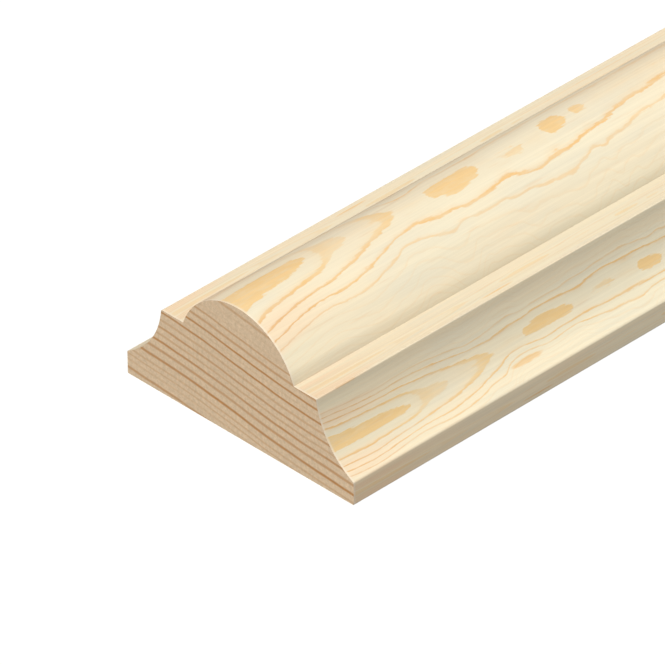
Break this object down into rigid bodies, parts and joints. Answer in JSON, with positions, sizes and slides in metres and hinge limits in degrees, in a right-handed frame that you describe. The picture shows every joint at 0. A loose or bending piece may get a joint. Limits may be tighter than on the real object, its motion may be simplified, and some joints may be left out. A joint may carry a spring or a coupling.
{
  "type": "dado rail",
  "caption": "Length of moulded softwood dado rail: flat back, square edges, coves that climb to flat fillets, and a raised round along the middle.",
  "frame": {"origin": "middle of the flat back, the face that goes against the wall", "axes": "+X along the rail, +Y across its width, +Z out from the wall towards the crown of the moulding"},
  "size_m": [2.4, 0.044, 0.0215],
  "materials": {
    "pine": "planed and left bare"
  },
  "bodies": {
    "root": {"rail": "pine"}
  },
  "joints": []
}
